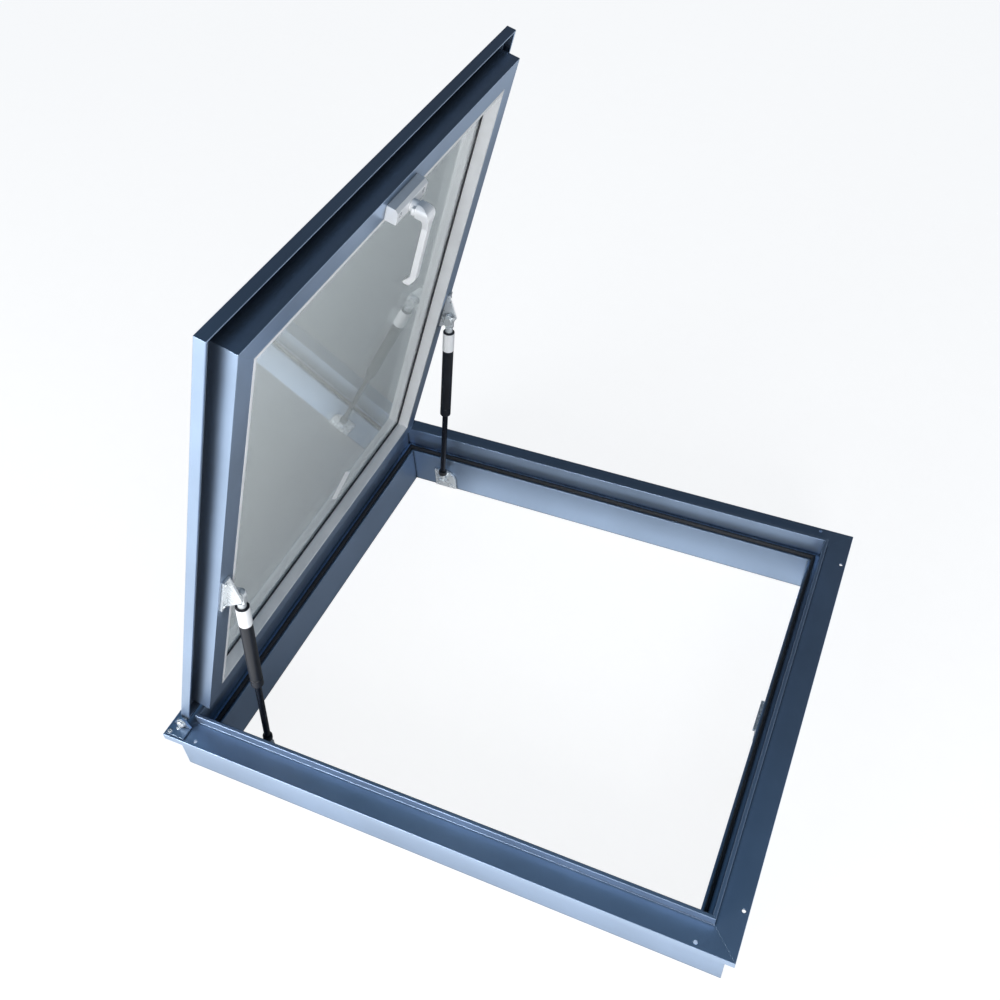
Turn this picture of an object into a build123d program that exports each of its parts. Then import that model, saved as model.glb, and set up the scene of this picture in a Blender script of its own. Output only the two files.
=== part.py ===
from build123d import *
import os
from math import cos, radians, sin

os.makedirs("parts", exist_ok=True)

# Hinged roof skylight: a mitred aluminium frame that is fixed to the roof, and a glazed
# sash that stands open on two gas struts. All sizes are in millimetres.
# Origin: middle of the frame, on the underside of its flange. X runs from the hinge side
# to the opening side, Y along the hinge axis, Z up.

# Roof frame, outside sizes
FRAME_X = 700.0
FRAME_Y = 616.0

# Roof frame, section of the extrusion, from its outer edge inwards
WALL = 2.0
EDGE_RADIUS = 0.7
FLANGE_WIDTH = 30.0
FLANGE_LIP = 8.4
SIDE_RECESS = 10.0
FRAME_DEPTH = 73.0
UPSTAND_WIDTH = 4.0
UPSTAND_HEIGHT = 13.8
LEDGE_WIDTH = 14.0
LEDGE_DROP = 14.7

# Sash, section of the extrusion, from its outer edge inwards and from its outer face down
SASH_INSET = 23.3
SASH_DEPTH = 28.0
SASH_LIP = 11.0
SASH_LIP_TO_BOX = 17.0
SASH_PLATE_WIDTH = 30.0
SASH_BOX_WIDTH = 25.0
GLASS_LEDGE_DEPTH = 14.0

# Hinge axis, seen from the frame's hinge-side edge and the flange's underside
HINGE_AXIS_INSET = 19.0
HINGE_AXIS_HEIGHT = 13.0
OPEN_ANGLE = 71.5

# How the closed sash sits in the frame
PLATE_OVER_UPSTAND = 0.7
SEAL_GAP = 0.3
SEAL_WIDTH = 4.0
SEAL_ROUND = 1.2

# Glazing
PANE_THICKNESS = 4.0
SPACER_HEIGHT = 4.0
SPACER_WIDTH = 8.0
EDGE_SEAL_WIDTH = 2.5
GLASS_EDGE_GAP = 3.0
TAPE_THICKNESS = 1.0
TAPE_SHOWING = 4.0
BEAD_WIDTH = 4.0
BEAD_WALL = 1.2
SETTING_BLOCK_LENGTH = 40.0
SETTING_BLOCK_INSET = 90.0
PERIMETER_SEAL_DEPTH = 6.0
PERIMETER_SEAL_RECESS = 0.6

# Corner cleats
CLEAT_LEG = 58.0
CLEAT_WALL = 4.0
FIT = 0.3

# Fixing holes in the flange overhang
FIX_HOLE_RADIUS = 2.2
FIX_HOLE_EDGE = 6.0
FIX_HOLE_CORNER_X = 43.0
FIX_HOLE_CORNER_Y = 56.0

# Corner pivot hinges
BRACKET_SHEET = 2.5
FOOT_OUTER_GAP = 5.0
FOOT_INNER_GAP = 1.2
FOOT_END_GAP = 2.5
EAR_TO_SASH = 3.3
EAR_RADIUS = 6.5
PIN_RADIUS = 3.0
PIN_RUNNING_GAP = 0.05
PIN_HEAD_RADIUS = 5.0
PIN_HEAD_HEIGHT = 3.4
WASHER_RADIUS = 5.8
WASHER_HEIGHT = 1.2
LEAF_LENGTH = 56.0
LEAF_SHEET = 2.0
KNUCKLE_LENGTH = 20.0
LEAF_END_GAP = 0.5
SCREW_HEAD_RADIUS = 2.8
SCREW_HEAD_HEIGHT = 1.5
SCREW_HEAD_TAPER = 28.0
SCREW_RADIUS = 1.7
SCREW_LENGTH = 7.0
FLUSH_HEAD_DEPTH = 1.1
FOOT_SCREW_STEP = 7.2
FOOT_SCREW_TO_EAR = 4.0
FOOT_SCREW_TO_EDGE = 14.4
LEAF_SCREW_GAP = 7.0
PIN_HEAD_CHAMFER = 1.4

# Gas struts
STRUT_WALL_GAP = 12.0
STRUT_FRAME_X = 101.0
STRUT_FRAME_DROP = 47.0
STRUT_SASH_X = 272.0
STRUT_SASH_DROP = 40.5
TUBE_RADIUS = 7.5
TUBE_WALL = 1.2
TUBE_START = 20.0
TUBE_LENGTH = 152.0
TUBE_CAP = 4.0
TUBE_CHAMFER = 1.2
CRIMP_FROM_END = 12.0
CRIMP_WIDTH = 3.0
CRIMP_DEPTH = 0.8
GUIDE_LENGTH = 9.0
ROD_RADIUS = 4.0
PISTON_LENGTH = 8.0
PISTON_GAP = 0.1
ROD_END_RADIUS = 6.0
ROD_END_START = 20.0
ROD_END_LENGTH = 6.5
EYE_RADIUS = 7.0
EYE_THICKNESS = 5.0
EYE_WIDTH = 11.5
NECK_RADIUS = 5.0
COLLAR_RADIUS = 5.0
STRUT_HEAD_HEIGHT = 2.6
STRUT_COLLAR = 2.6
STRUT_SASH_COLLAR = 2.5
STUD_CHAMFER = 0.8
STUD_SIDE_GAP = 0.3
STUD_TIP = 0.4
GUIDE_RECESS = 0.6
ROD_TIP = 2.0
EYE_BLADE_SHARE = 0.62

# Strut plates on the frame and strut brackets on the sash
PLATE_SHEET = 3.0
PLATE_WIDTH = 34.0
PLATE_BELOW = 24.0
PLATE_ABOVE = 9.0
PLATE_BIG_RADIUS = 16.0
PLATE_SMALL_RADIUS = 2.0
BOSS_RADIUS = 6.0
BRACKET_BASE_LENGTH = 55.0
BRACKET_SHIFT = 3.5
BRACKET_SCREW_SPREAD = 42.0
SASH_EAR_RADIUS = 7.0
PLATE_SCREW_SPREAD = 22.0
PLATE_SCREW_EDGE = 6.0

# Handle
HANDLE_BASE_LENGTH = 60.0
HANDLE_BASE_WIDTH = 16.0
HANDLE_BASE_HEIGHT = 12.0
HANDLE_BASE_CHAMFER = 3.3
HANDLE_WALL_CLEARANCE = 1.7
HANDLE_AXIS_TO_WALL = 12.0
HANDLE_SCREW_SPREAD = 46.0
HUB_RADIUS = 6.5
HUB_HEIGHT = 4.0
TONGUE_THICKNESS = 2.8
TONGUE_WIDTH = 8.0
SPINDLE_RADIUS = 3.5
SPINDLE_IN_BASE = 8.0
SPINDLE_IN_LEVER = 5.0
LEVER_RISE = 8.7
LEVER_WIDTH = 8.0
LEVER_THICKNESS = 5.9
LEVER_LENGTH = 90.3
LEVER_STEM_LENGTH = 14.4
LEVER_ROOT_RADIUS = 8.0
LEVER_NECK = 16.0
LEVER_SHOULDER = 12.0
LEVER_BEND = 3.0
LEVER_CURL_BEND = 8.0
LEVER_CURL = 9.7
LEVER_CURL_OUTER = 11.5
LEVER_CURL_INNER = 13.4
LEVER_CURL_TURN = 3.0
LEVER_CURL_TURN_RISE = 4.8
LEVER_TIP_LENGTH = 3.8
LEVER_TIP_RISE = 2.6
KEEP_SHEET = 1.5
KEEP_LIP = 3.0
KEEP_LIP_CLEARANCE = 1.3
KEEP_LENGTH = 44.0
KEEP_HEIGHT = 24.0
KEEP_SCREW_SPREAD = 32.0
KEEP_SCREW_EDGE = 6.0

# Sizes that follow from the ones above
upstand_inner = FLANGE_WIDTH + UPSTAND_WIDTH
inner_wall = upstand_inner + LEDGE_WIDTH
upstand_top = WALL + UPSTAND_HEIGHT
sash_top = upstand_top + PLATE_OVER_UPSTAND + WALL
sash_underside = sash_top - SASH_DEPTH
sash_x = FRAME_X - 2 * SASH_INSET
sash_y = FRAME_Y - 2 * SASH_INSET
sash_box_inner = SASH_LIP_TO_BOX + SASH_BOX_WIDTH
seal_inset = SASH_INSET + SASH_LIP_TO_BOX
reveal = sash_box_inner + BEAD_WIDTH
glass_edge = SASH_PLATE_WIDTH + GLASS_EDGE_GAP
tape_top = sash_top - GLASS_LEDGE_DEPTH + TAPE_THICKNESS
inner_pane_top = tape_top + PANE_THICKNESS
outer_pane_bottom = inner_pane_top + SPACER_HEIGHT
hinge_x = -FRAME_X / 2 + HINGE_AXIS_INSET
hinge_z = HINGE_AXIS_HEIGHT
open_cos = cos(radians(OPEN_ANGLE))
open_sin = sin(radians(OPEN_ANGLE))

# The sash is drawn as if shut. This plane carries it round the hinge axis to where it stands open.
sash_plane = Plane(
    origin=(
        hinge_x - hinge_x * open_cos + hinge_z * open_sin,
        0,
        hinge_z - hinge_x * open_sin - hinge_z * open_cos,
    ),
    x_dir=(open_cos, 0, open_sin),
    z_dir=(-open_sin, 0, open_cos),
)


def save(piece, name):
    """Label one finished piece and write it."""
    piece.part.label = name
    export_step(piece.part, "parts/" + name + ".step")


def sides(face, size_x, size_y):
    """The four sides of a rectangle: name, plane (x inwards, y up, z along the side), length."""
    half_x = size_x / 2
    half_y = size_y / 2
    rows = (
        ("near", (-half_x, -half_y), (1, 0), size_x),
        ("opening_side", (half_x, -half_y), (0, 1), size_y),
        ("far", (half_x, half_y), (-1, 0), size_x),
        ("hinge_side", (-half_x, half_y), (0, -1), size_y),
    )
    found = []
    for name, corner, along, length in rows:
        run = face.from_local_coords(Vector(along[0], along[1], 0)) - face.origin
        inward = face.from_local_coords(Vector(-along[1], along[0], 0)) - face.origin
        start = face.from_local_coords(Vector(corner[0], corner[1], 0))
        found.append((name, Plane(origin=start, x_dir=inward, z_dir=run), length))
    return found


def extrusion_section(plane, outline, corner_radius, chambers):
    """A hollow section on its plane: an outline with rounded corners, less its chambers."""
    with BuildSketch(plane) as section:
        with BuildLine():
            Polyline(*outline, close=True)
        make_face()
        fillet(section.vertices(), corner_radius)
        for x_low, x_high, z_low, z_high in chambers:
            with Locations(((x_low + x_high) / 2, (z_low + z_high) / 2)):
                Rectangle(x_high - x_low, z_high - z_low, mode=Mode.SUBTRACT)
    return section.sketch


def frame_section(plane):
    """Section of the roof frame: lipped flange, upstand, seal ledge and box below."""
    outline = (
        (0, -FLANGE_LIP),
        (0, WALL),
        (FLANGE_WIDTH, WALL),
        (FLANGE_WIDTH, upstand_top),
        (upstand_inner, upstand_top),
        (upstand_inner, -LEDGE_DROP),
        (inner_wall, -LEDGE_DROP),
        (inner_wall, -FRAME_DEPTH),
        (SIDE_RECESS, -FRAME_DEPTH),
        (SIDE_RECESS, 0),
        (WALL, 0),
        (WALL, -FLANGE_LIP),
    )
    chambers = (
        (SIDE_RECESS + WALL, upstand_inner - WALL, -LEDGE_DROP, 0),
        (SIDE_RECESS + WALL, inner_wall - WALL, -FRAME_DEPTH + WALL, -LEDGE_DROP - WALL),
    )
    return extrusion_section(plane, outline, EDGE_RADIUS, chambers)


def sash_section(plane):
    """Section of the sash: lipped outer plate, box, and a ledge that carries the glass."""
    ledge = -GLASS_LEDGE_DEPTH
    box = SASH_LIP_TO_BOX
    outline = (
        (0, -SASH_LIP),
        (0, 0),
        (SASH_PLATE_WIDTH, 0),
        (SASH_PLATE_WIDTH, ledge),
        (sash_box_inner, ledge),
        (sash_box_inner, -SASH_DEPTH),
        (box, -SASH_DEPTH),
        (box, -WALL),
        (WALL, -WALL),
        (WALL, -SASH_LIP),
    )
    chambers = (
        (box + WALL, SASH_PLATE_WIDTH - WALL, ledge, -WALL),
        (box + WALL, sash_box_inner - WALL, -SASH_DEPTH + WALL, ledge - WALL),
    )
    return extrusion_section(plane, outline, EDGE_RADIUS, chambers)


def bead_section(plane):
    """Section of a glazing bead: a channel that stands on the glass and closes the reveal."""
    top = -GLASS_LEDGE_DEPTH
    bottom = -SASH_DEPTH
    wall = BEAD_WALL
    with BuildSketch(plane) as section:
        with BuildLine():
            Polyline(
                (sash_box_inner, top),
                (sash_box_inner, bottom),
                (reveal, bottom),
                (reveal, top),
                (reveal - wall, top),
                (reveal - wall, bottom + wall),
                (sash_box_inner + wall, bottom + wall),
                (sash_box_inner + wall, top),
                close=True,
            )
        make_face()
    return section.sketch


def mitred_member(plane, length, section, screws, holes=()):
    """One extrusion, its ends cut at 45 degrees, with screw holes and flange holes."""
    end = plane.origin + plane.z_dir * length
    with BuildPart() as member:
        extrude(section(plane), amount=length)
        split(bisect_by=Plane(origin=plane.origin, z_dir=plane.z_dir - plane.x_dir), keep=Keep.TOP)
        split(bisect_by=Plane(origin=end, z_dir=-plane.z_dir - plane.x_dir), keep=Keep.TOP)
        for set_of_screws in screws:
            add(set_of_screws.part, mode=Mode.SUBTRACT)
        if holes:
            flange = Plane(origin=plane.origin, x_dir=plane.z_dir, z_dir=plane.y_dir)
            with BuildSketch(flange):
                with Locations(*holes):
                    Circle(FIX_HOLE_RADIUS)
            extrude(amount=WALL, mode=Mode.SUBTRACT)
    return member


def cleat_set(face, size_x, size_y, low, high, inner, outer):
    """Four hollow L-shaped cleats in the corners of a mitred frame's chamber."""
    first = inner + FIT
    last = outer - FIT
    with BuildPart() as cleats:
        for name, plane, length in sides(face, size_x, size_y):
            corner = Plane(origin=plane.origin, x_dir=plane.z_dir, z_dir=plane.y_dir)
            with BuildSketch(corner.offset(low + FIT)):
                with BuildLine():
                    Polyline(
                        (first, first),
                        (CLEAT_LEG, first),
                        (CLEAT_LEG, last),
                        (last, last),
                        (last, CLEAT_LEG),
                        (first, CLEAT_LEG),
                        close=True,
                    )
                make_face()
                offset(amount=-CLEAT_WALL, mode=Mode.SUBTRACT)
            extrude(amount=high - low - 2 * FIT)
    return cleats


def ring(plane, size_x, size_y, inset, width, height, rounding=0):
    """A flat rectangular ring, from its inset and width, raised by its height."""
    with BuildPart() as piece:
        with BuildSketch(plane):
            Rectangle(size_x - 2 * inset, size_y - 2 * inset)
            Rectangle(size_x - 2 * (inset + width), size_y - 2 * (inset + width), mode=Mode.SUBTRACT)
        extrude(amount=height)
        if rounding:
            fillet(piece.edges().group_by(Axis.Z)[-1], rounding)
    return piece


def pane(plane, size_x, size_y, thickness):
    """One pane of glass with ground edges."""
    with BuildPart() as piece:
        with BuildSketch(plane):
            Rectangle(size_x, size_y)
        extrude(amount=thickness)
    return piece


def turned(plane, outline):
    """A turned piece: an outline of (radius, distance) spun round the plane's y axis."""
    with BuildPart() as piece:
        with BuildSketch(plane):
            with BuildLine():
                Polyline(*outline, close=True)
            make_face()
        revolve(axis=Axis(plane.origin, plane.y_dir))
    return piece


def screw_set(places, length=SCREW_LENGTH):
    """Pan-head screws: each place is a point on the surface and the way its head points."""
    with BuildPart() as screws:
        for point, outward in places:
            seat = Plane(origin=point, z_dir=outward)
            with BuildSketch(seat):
                Circle(SCREW_HEAD_RADIUS)
            extrude(amount=SCREW_HEAD_HEIGHT, taper=SCREW_HEAD_TAPER)
            with BuildSketch(seat):
                Circle(SCREW_RADIUS)
            extrude(amount=-length)
    return screws


def flush_screw_set(places, length):
    """Countersunk screws, their heads level with the surface that they hold."""
    with BuildPart() as screws:
        for point, outward in places:
            seat = Plane(origin=point, z_dir=outward)
            with BuildSketch(seat):
                Circle(SCREW_HEAD_RADIUS)
            with BuildSketch(seat.offset(-FLUSH_HEAD_DEPTH)):
                Circle(SCREW_RADIUS)
            loft()
            with BuildSketch(seat):
                Circle(SCREW_RADIUS)
            extrude(amount=-length)
    return screws


def far_copy(piece):
    """The same piece at the far end of the skylight."""
    with BuildPart() as copy:
        mirror(piece.part, about=Plane.XZ)
    return copy


def pair_of(piece):
    """A small piece of the near end together with its mirror image at the far end."""
    with BuildPart() as pair:
        add(piece.part)
        mirror(piece.part, about=Plane.XZ)
    return pair


def both_ends(places):
    """Points and directions at the near end, with their mirror images at the far end."""
    found = []
    for point, outward in places:
        point = Vector(*point)
        outward = Vector(*outward)
        found.append((point, outward))
        found.append((Vector(point.X, -point.Y, point.Z), Vector(outward.X, -outward.Y, outward.Z)))
    return found


def save_both_ends(piece, name):
    """Write a piece of the near end, and its mirror image for the far end."""
    save(piece, name + "_near")
    save(far_copy(piece), name + "_far")


def shut_point(x, y, z):
    """Where a point of the shut sash is when the sash stands open."""
    return sash_plane.from_local_coords(Vector(x, y, z))


def cross_plane(base, y):
    """A plane across the hinge axis at a place along it: x and y are the base's x and z."""
    origin = base.from_local_coords(Vector(0, y, 0))
    return Plane(origin=origin, x_dir=base.x_dir, z_dir=(0, -1, 0))


# Hinge bracket: a foot on the flange corner and an ear that carries the pivot pin
foot_x_low = -FRAME_X / 2 + FOOT_OUTER_GAP
foot_x_high = -FRAME_X / 2 + FLANGE_WIDTH - FOOT_INNER_GAP
foot_x = (foot_x_low + foot_x_high) / 2
foot_length = foot_x_high - foot_x_low
foot_y_out = -FRAME_Y / 2 + FOOT_END_GAP
ear_y_in = -FRAME_Y / 2 + SASH_INSET - EAR_TO_SASH
ear_y_out = ear_y_in - BRACKET_SHEET
foot_top = WALL + BRACKET_SHEET
foot_screw_x = foot_x_high - FOOT_SCREW_TO_EDGE
foot_screw_y = ear_y_out - FOOT_SCREW_TO_EAR
foot_screws = screw_set(
    both_ends(
        [
            ((foot_screw_x, foot_screw_y, foot_top), (0, 0, 1)),
            (
                (foot_screw_x - FOOT_SCREW_STEP, foot_screw_y - FOOT_SCREW_STEP, foot_top),
                (0, 0, 1),
            ),
        ]
    )
)
save(foot_screws, "hinge_bracket_screws")

with BuildPart() as hinge_bracket:
    with BuildSketch(Plane.XY.offset(WALL)):
        with Locations((foot_x, (foot_y_out + ear_y_in) / 2)):
            Rectangle(foot_length, ear_y_in - foot_y_out)
    extrude(amount=BRACKET_SHEET)
    with BuildSketch(cross_plane(Plane.XY, ear_y_in)):
        with Locations((hinge_x, hinge_z)):
            Circle(EAR_RADIUS)
        with Locations((foot_x, WALL + BRACKET_SHEET / 2)):
            Rectangle(foot_length, BRACKET_SHEET)
        make_hull()
        with Locations((hinge_x, hinge_z)):
            Circle(PIN_RADIUS, mode=Mode.SUBTRACT)
    extrude(amount=BRACKET_SHEET)
    add(foot_screws.part, mode=Mode.SUBTRACT)
save_both_ends(hinge_bracket, "hinge_bracket")

# Pivot pin: domed head, washer and shank, held in the ear, running in the sash's knuckle
pin_reach = BRACKET_SHEET + EAR_TO_SASH + LEAF_END_GAP + KNUCKLE_LENGTH
pin_plane = Plane(origin=(hinge_x, ear_y_out, hinge_z), x_dir=(1, 0, 0), z_dir=(0, 0, 1))
pin_top = -WASHER_HEIGHT - PIN_HEAD_HEIGHT
hinge_pin = turned(
    pin_plane,
    (
        (0, pin_top),
        (PIN_HEAD_RADIUS - PIN_HEAD_CHAMFER, pin_top),
        (PIN_HEAD_RADIUS, pin_top + PIN_HEAD_CHAMFER),
        (PIN_HEAD_RADIUS, -WASHER_HEIGHT),
        (WASHER_RADIUS, -WASHER_HEIGHT),
        (WASHER_RADIUS, 0),
        (PIN_RADIUS, 0),
        (PIN_RADIUS, pin_reach),
        (0, pin_reach),
    ),
)
save(pair_of(hinge_pin), "hinge_pins")

# Hinge leaf: a strip on the outer face of the sash lip, rolled into a knuckle round the pin
lip_x = -sash_x / 2
lip_y = -sash_y / 2 + LEAF_END_GAP
leaf_mid_z = sash_top - SASH_LIP / 2
leaf_screw_first = lip_y + KNUCKLE_LENGTH + LEAF_SCREW_GAP
leaf_screw_last = lip_y + LEAF_LENGTH - LEAF_SCREW_GAP
leaf_screw_places = []
for screw_y in (leaf_screw_first, leaf_screw_last):
    for end_sign in (1, -1):
        leaf_screw_places.append(
            (shut_point(lip_x - LEAF_SHEET, end_sign * screw_y, leaf_mid_z), -sash_plane.x_dir)
        )
leaf_screws = screw_set(leaf_screw_places, LEAF_SHEET + WALL + FIT)
save(leaf_screws, "hinge_leaf_screws")

with BuildPart() as hinge_leaf:
    with BuildSketch(cross_plane(sash_plane, lip_y)):
        with Locations((lip_x - LEAF_SHEET / 2, leaf_mid_z)):
            Rectangle(LEAF_SHEET, SASH_LIP)
    extrude(amount=-LEAF_LENGTH)
    with BuildSketch(cross_plane(sash_plane, lip_y)):
        with Locations((hinge_x, hinge_z)):
            Circle(lip_x - hinge_x)
    extrude(amount=-KNUCKLE_LENGTH)
    with BuildSketch(cross_plane(sash_plane, lip_y)):
        with Locations((hinge_x, hinge_z)):
            Circle(PIN_RADIUS + PIN_RUNNING_GAP)
    extrude(amount=-KNUCKLE_LENGTH, mode=Mode.SUBTRACT)
    add(leaf_screws.part, mode=Mode.SUBTRACT)
save_both_ends(hinge_leaf, "sash_hinge_leaf")

# Strut ends: the stud on the frame's inner side wall, and the stud below the sash
wall_y = -FRAME_Y / 2 + inner_wall
strut_y = wall_y + STRUT_WALL_GAP
frame_stud = Vector(-FRAME_X / 2 + STRUT_FRAME_X, strut_y, -STRUT_FRAME_DROP)
sash_stud_x = -sash_x / 2 + STRUT_SASH_X
sash_stud_z = sash_top - STRUT_SASH_DROP
sash_stud = shut_point(sash_stud_x, strut_y, sash_stud_z)
strut_run = (frame_stud - sash_stud).normalized()
strut_length = (frame_stud - sash_stud).length
strut_plane = Plane(origin=sash_stud, x_dir=(0, 1, 0), z_dir=Vector(0, 1, 0).cross(strut_run))
eye_near = strut_y - EYE_THICKNESS / 2
eye_far = strut_y + EYE_THICKNESS / 2

# Strut plate on the frame's inner wall, with one large rounded corner and a boss
plate_top = frame_stud.Z + PLATE_ABOVE
plate_bottom = frame_stud.Z - PLATE_BELOW
plate_screw_z = plate_bottom + PLATE_SCREW_EDGE
plate_screws = screw_set(
    both_ends(
        [
            ((frame_stud.X - PLATE_SCREW_SPREAD / 2, wall_y + PLATE_SHEET, plate_screw_z), (0, 1, 0)),
            ((frame_stud.X + PLATE_SCREW_SPREAD / 2, wall_y + PLATE_SHEET, plate_screw_z), (0, 1, 0)),
        ]
    )
)
save(plate_screws, "strut_plate_screws")
boss_y = eye_near - STRUT_COLLAR - FIT
with BuildPart() as strut_plate:
    with BuildSketch(cross_plane(Plane.XY, wall_y)) as plate_shape:
        with Locations((frame_stud.X, (plate_top + plate_bottom) / 2)):
            Rectangle(PLATE_WIDTH, plate_top - plate_bottom)
        fillet(plate_shape.vertices().group_by(Axis.Y)[-1].sort_by(Axis.X)[-1], PLATE_BIG_RADIUS)
        fillet(plate_shape.vertices().group_by(Axis.X)[0].sort_by(Axis.Y)[-1], PLATE_SMALL_RADIUS)
    extrude(amount=-PLATE_SHEET)
    with BuildSketch(cross_plane(Plane.XY, wall_y + PLATE_SHEET)):
        with Locations((frame_stud.X, frame_stud.Z)):
            Circle(BOSS_RADIUS)
    extrude(amount=-(boss_y - wall_y - PLATE_SHEET))
    add(plate_screws.part, mode=Mode.SUBTRACT)
save_both_ends(strut_plate, "strut_plate")

# Strut bracket: a base on the underside of the sash and an ear that carries the stud
bracket_x = sash_stud_x + BRACKET_SHIFT
strut_ear_in = eye_near - STRUT_SASH_COLLAR
strut_ear_out = strut_ear_in - BRACKET_SHEET
bracket_y_out = -FRAME_Y / 2 + seal_inset + SEAL_WIDTH + FIT
bracket_screw_y = (bracket_y_out + strut_ear_out) / 2
bracket_screw_places = []
for screw_x in (bracket_x - BRACKET_SCREW_SPREAD / 2, bracket_x + BRACKET_SCREW_SPREAD / 2):
    for end_sign in (1, -1):
        bracket_screw_places.append(
            (
                shut_point(screw_x, end_sign * bracket_screw_y, sash_underside - BRACKET_SHEET),
                -sash_plane.z_dir,
            )
        )
bracket_screws = screw_set(bracket_screw_places)
save(bracket_screws, "strut_bracket_screws")
with BuildPart() as strut_bracket:
    with BuildSketch(sash_plane.offset(sash_underside)):
        with Locations((bracket_x, (bracket_y_out + strut_ear_in) / 2)):
            Rectangle(BRACKET_BASE_LENGTH, strut_ear_in - bracket_y_out)
    extrude(amount=-BRACKET_SHEET)
    with BuildSketch(cross_plane(sash_plane, strut_ear_in)):
        with Locations((sash_stud_x, sash_stud_z)):
            Circle(SASH_EAR_RADIUS)
        with Locations((bracket_x, sash_underside - BRACKET_SHEET / 2)):
            Rectangle(BRACKET_BASE_LENGTH, BRACKET_SHEET)
        make_hull()
        with Locations((sash_stud_x, sash_stud_z)):
            Circle(PIN_RADIUS, mode=Mode.SUBTRACT)
    extrude(amount=BRACKET_SHEET)
    add(bracket_screws.part, mode=Mode.SUBTRACT)
save_both_ends(strut_bracket, "strut_bracket")


def stud(point, back, collar_from, eye_from, eye_to):
    """A stud along the hinge direction: shank, collar before the eye, head after it."""
    plane = Plane(origin=(point.X, 0, point.Z), x_dir=(1, 0, 0), z_dir=(0, 0, 1))
    head = eye_to + STRUT_HEAD_HEIGHT
    return turned(
        plane,
        (
            (0, back),
            (PIN_RADIUS, back),
            (PIN_RADIUS, collar_from),
            (COLLAR_RADIUS, collar_from),
            (COLLAR_RADIUS, eye_from),
            (PIN_RADIUS, eye_from),
            (PIN_RADIUS, eye_to),
            (COLLAR_RADIUS, eye_to),
            (COLLAR_RADIUS, head - STUD_CHAMFER),
            (COLLAR_RADIUS - STUD_CHAMFER, head),
            (0, head),
        ),
    )


sash_stud_piece = stud(
    sash_stud, strut_ear_out, strut_ear_in, eye_near - STUD_SIDE_GAP, eye_far + STUD_SIDE_GAP
)
save(pair_of(sash_stud_piece), "strut_sash_studs")
frame_stud_piece = stud(
    frame_stud, boss_y + FIT, boss_y + FIT + STUD_TIP, eye_near, eye_far
)
save_both_ends(frame_stud_piece, "strut_frame_stud")

# Gas strut: closed tube, crimped near its open end
tube_end = TUBE_START + TUBE_LENGTH
tube_inner = TUBE_RADIUS - TUBE_WALL
crimp_end = tube_end - CRIMP_FROM_END
strut_tube = turned(
    strut_plane,
    (
        (0, TUBE_START),
        (TUBE_RADIUS - TUBE_CHAMFER, TUBE_START),
        (TUBE_RADIUS, TUBE_START + TUBE_CHAMFER),
        (TUBE_RADIUS, crimp_end - CRIMP_WIDTH),
        (TUBE_RADIUS - CRIMP_DEPTH, crimp_end - CRIMP_WIDTH + CRIMP_DEPTH),
        (TUBE_RADIUS - CRIMP_DEPTH, crimp_end - CRIMP_DEPTH),
        (TUBE_RADIUS, crimp_end),
        (TUBE_RADIUS, tube_end),
        (tube_inner, tube_end),
        (tube_inner, TUBE_START + TUBE_CAP),
        (0, TUBE_START + TUBE_CAP),
    ),
)
save_both_ends(strut_tube, "strut_tube")

# Rod guide in the mouth of the tube
guide_start = tube_end - GUIDE_RECESS - GUIDE_LENGTH
strut_guide = turned(
    strut_plane,
    (
        (ROD_RADIUS + PIN_RUNNING_GAP, guide_start),
        (tube_inner, guide_start),
        (tube_inner, guide_start + GUIDE_LENGTH),
        (ROD_RADIUS + PIN_RUNNING_GAP, guide_start + GUIDE_LENGTH),
    ),
)
save_both_ends(strut_guide, "strut_guide")

# Piston and rod, drawn out to their full stroke
piston_end = guide_start - FIT
piston_start = piston_end - PISTON_LENGTH
rod_start = piston_start - ROD_TIP
rod_end = strut_length - ROD_END_START
strut_piston = turned(
    strut_plane,
    (
        (ROD_RADIUS, piston_start),
        (tube_inner - PISTON_GAP, piston_start),
        (tube_inner - PISTON_GAP, piston_end),
        (ROD_RADIUS, piston_end),
    ),
)
save_both_ends(strut_piston, "strut_piston")
strut_rod = turned(
    strut_plane,
    (
        (0, rod_start),
        (ROD_RADIUS, rod_start),
        (ROD_RADIUS, rod_end),
        (0, rod_end),
    ),
)
save_both_ends(strut_rod, "strut_rod")
strut_rod_end = turned(
    strut_plane,
    (
        (0, rod_end),
        (ROD_END_RADIUS - STUD_CHAMFER, rod_end),
        (ROD_END_RADIUS, rod_end + STUD_CHAMFER),
        (ROD_END_RADIUS, rod_end + ROD_END_LENGTH),
        (0, rod_end + ROD_END_LENGTH),
    ),
)
save_both_ends(strut_rod_end, "strut_rod_end")


def strut_eye(centre, other, hole):
    """A flat eye on a round neck: eye centre and neck end as distances down the strut."""
    blade_end = centre + (other - centre) * EYE_BLADE_SHARE
    neck = turned(strut_plane, ((0, blade_end), (NECK_RADIUS, blade_end), (NECK_RADIUS, other), (0, other)))
    across = Plane(
        origin=strut_plane.origin, x_dir=strut_plane.y_dir, z_dir=strut_plane.x_dir
    )
    with BuildPart() as eye:
        with BuildSketch(across.offset(-EYE_THICKNESS / 2)):
            with Locations((centre, 0)):
                Circle(EYE_RADIUS)
            with Locations(((centre + blade_end) / 2, 0)):
                Rectangle(abs(blade_end - centre), EYE_WIDTH)
            with Locations((centre, 0)):
                Circle(hole, mode=Mode.SUBTRACT)
        extrude(amount=EYE_THICKNESS)
        add(neck.part)
    return eye


save_both_ends(strut_eye(0, TUBE_START, PIN_RADIUS + PIN_RUNNING_GAP), "strut_tube_eye")
save_both_ends(strut_eye(strut_length, rod_end + ROD_END_LENGTH, PIN_RADIUS), "strut_rod_eye")

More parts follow.
